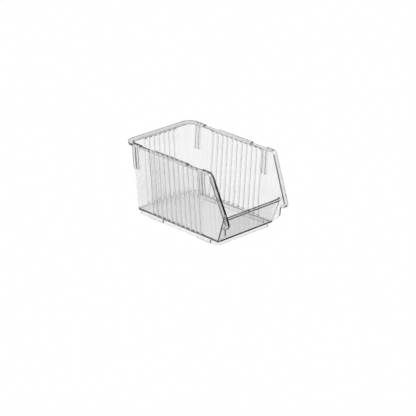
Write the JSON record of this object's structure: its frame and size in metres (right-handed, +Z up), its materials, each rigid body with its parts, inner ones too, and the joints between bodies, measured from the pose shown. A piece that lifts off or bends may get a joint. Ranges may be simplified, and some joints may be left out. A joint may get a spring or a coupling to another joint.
{
  "type": "stacking storage bin",
  "caption": "Open-front stacking and nesting storage bin in clear moulded plastic, with fluted drafted walls, a notched rim and a low scoop lip",
  "frame": {"origin": "bottom centre of the bounding box, on the surface the bin stands on", "axes": "+X across the bin to the right seen from the open front, -Y out of the open front, +Z up"},
  "size_m": [0.1194, 0.1896, 0.1012],
  "materials": {
    "clear_polystyrene": "clear injection-moulded polystyrene with polished faces"
  },
  "bodies": {
    "root": {"floor_pan": "clear_polystyrene", "foot_pad_front_left": "clear_polystyrene", "foot_pad_front_right": "clear_polystyrene", "foot_pad_rear_left": "clear_polystyrene", "foot_pad_rear_right": "clear_polystyrene", "foot_ring": "clear_polystyrene", "front_lip": "clear_polystyrene", "front_wall": "clear_polystyrene", "mouth_rim_left": "clear_polystyrene", "mouth_rim_right": "clear_polystyrene", "nest_rib_front_a_left": "clear_polystyrene", "nest_rib_front_a_right": "clear_polystyrene", "nest_rib_front_b_left": "clear_polystyrene", "nest_rib_front_b_right": "clear_polystyrene", "nest_rib_rear_a_left": "clear_polystyrene", "nest_rib_rear_a_right": "clear_polystyrene", "nest_rib_rear_b_left": "clear_polystyrene", "nest_rib_rear_b_right": "clear_polystyrene", "rear_corner_left": "clear_polystyrene", "rear_corner_right": "clear_polystyrene", "rear_wall": "clear_polystyrene", "rim_left": "clear_polystyrene", "rim_rear": "clear_polystyrene", "rim_right": "clear_polystyrene", "side_wall_left": "clear_polystyrene", "side_wall_right": "clear_polystyrene"}
  },
  "joints": []
}
